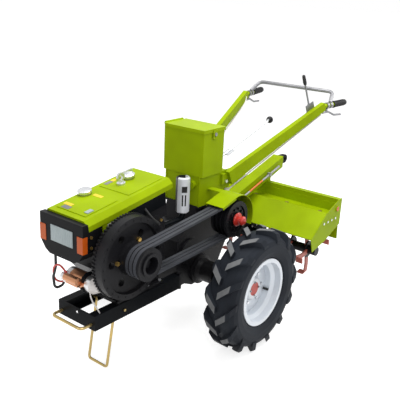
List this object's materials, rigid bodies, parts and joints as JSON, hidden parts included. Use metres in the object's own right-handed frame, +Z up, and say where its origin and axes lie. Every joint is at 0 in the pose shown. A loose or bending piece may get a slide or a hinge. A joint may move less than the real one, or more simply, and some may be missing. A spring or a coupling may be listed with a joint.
{
  "type": "walking tractor",
  "caption": "Two-wheel walking tractor with a belt-driven single-cylinder diesel engine, toolbox, long handlebars and a rear rotary tiller.",
  "frame": {"origin": "on the ground under the middle of the bounding box", "axes": "+X forward, +Y to the tractor's left, +Z up"},
  "size_m": [1.8757, 1.014, 1.2547],
  "materials": {
    "green_paint": "gloss",
    "black_paint": "satin",
    "black_casting": "satin",
    "silver_metal": "satin",
    "rim_paint": "gloss",
    "zinc_rod": "satin",
    "tyre_rubber": "matte",
    "belt_rubber": "matte",
    "grip_rubber": "matte",
    "red_paint": "gloss",
    "bright_steel": "satin",
    "black_plastic": "matte",
    "clear_lens": "gloss",
    "amber_lens": "gloss",
    "chrome": "polished"
  },
  "bodies": {
    "chassis": {"rail_left": "black_paint", "rail_right": "black_paint", "front_plate": "black_paint", "front_guard": "zinc_rod", "engine_block": "black_casting", "fuel_tank": "green_paint", "rear_cover": "green_paint", "tank_caps": "silver_metal", "lifting_eye": "silver_metal", "side_panel": "green_paint", "rear_panel": "black_paint", "lamp_housing": "black_plastic", "headlamp": "clear_lens", "turn_lamps": "amber_lens", "starter_body": "silver_metal", "starter_nose": "silver_metal", "starter_bracket": "black_paint", "starter_cable": "grip_rubber", "silencer": "chrome", "exhaust_pipe": "black_paint", "gearbox": "black_casting", "axle_housings": "black_casting", "belts": "belt_rubber", "belt_guard": "green_paint", "console_sides": "green_paint", "console_front": "green_paint", "console_shelf": "green_paint", "toolbox": "green_paint", "handlebar_left": "green_paint", "handlebar_right": "green_paint", "arm_rest": "bright_steel", "grips": "grip_rubber", "throttle": "bright_steel", "throttle_grip": "grip_rubber", "gear_lever": "black_paint", "steering_levers": "bright_steel", "control_rods": "bright_steel", "tiller_case": "black_paint", "tiller_hood": "green_paint", "tiller_ends": "green_paint", "tiller_bar": "green_paint", "tiller_flap": "green_paint", "tiller_boom": "green_paint", "hitch_tongue": "black_paint", "adjuster": "red_paint"},
    "flywheel": {"flywheel": "black_casting", "ring_gear": "bright_steel", "drive_pulley": "black_casting"},
    "clutch_pulley": {"clutch_pulley": "black_casting", "clutch_knob": "red_paint"},
    "toolbox_lid": {"toolbox_lid": "green_paint"},
    "stand": {"stand": "zinc_rod"},
    "left_wheel": {"tyre_left": "tyre_rubber", "rim_left": "rim_paint", "hub_left": "red_paint"},
    "right_wheel": {"tyre_right": "tyre_rubber", "rim_right": "rim_paint", "hub_right": "red_paint"},
    "tine_rotor": {"rotor": "black_casting", "tines": "red_paint"}
  },
  "joints": [
    {"name": "left_wheel_spin", "type": "hinge", "parent": "chassis", "child": "left_wheel", "pos_m": [0.13616, 0.425, 0.307], "axis": [0, 1, 0], "continuous": true},
    {"name": "right_wheel_spin", "type": "hinge", "parent": "chassis", "child": "right_wheel", "pos_m": [0.13616, -0.425, 0.307], "axis": [0, 1, 0], "continuous": true},
    {"name": "flywheel_spin", "type": "hinge", "parent": "chassis", "child": "flywheel", "pos_m": [0.72616, 0.17, 0.583], "axis": [0, 1, 0], "continuous": true},
    {"name": "clutch_spin", "type": "hinge", "parent": "chassis", "child": "clutch_pulley", "pos_m": [0.11616, 0.25, 0.623], "axis": [0, 1, 0], "continuous": true},
    {"name": "rotor_spin", "type": "hinge", "parent": "chassis", "child": "tine_rotor", "pos_m": [-0.43884, 0, 0.33], "axis": [0, 1, 0], "continuous": true},
    {"name": "lid_hinge", "type": "hinge", "parent": "chassis", "child": "toolbox_lid", "pos_m": [0.10516, -0.132, 1.0383], "axis": [1, 0, 0], "range_deg": [0, 110]},
    {"name": "stand_fold", "type": "hinge", "parent": "chassis", "child": "stand", "pos_m": [0.70116, 0, 0.302], "axis": [0, 1, 0], "range_deg": [0, 80]}
  ],
  "couplings": [
    {"joint": "clutch_spin", "follows": "flywheel_spin", "ratio": 0.76923}
  ]
}
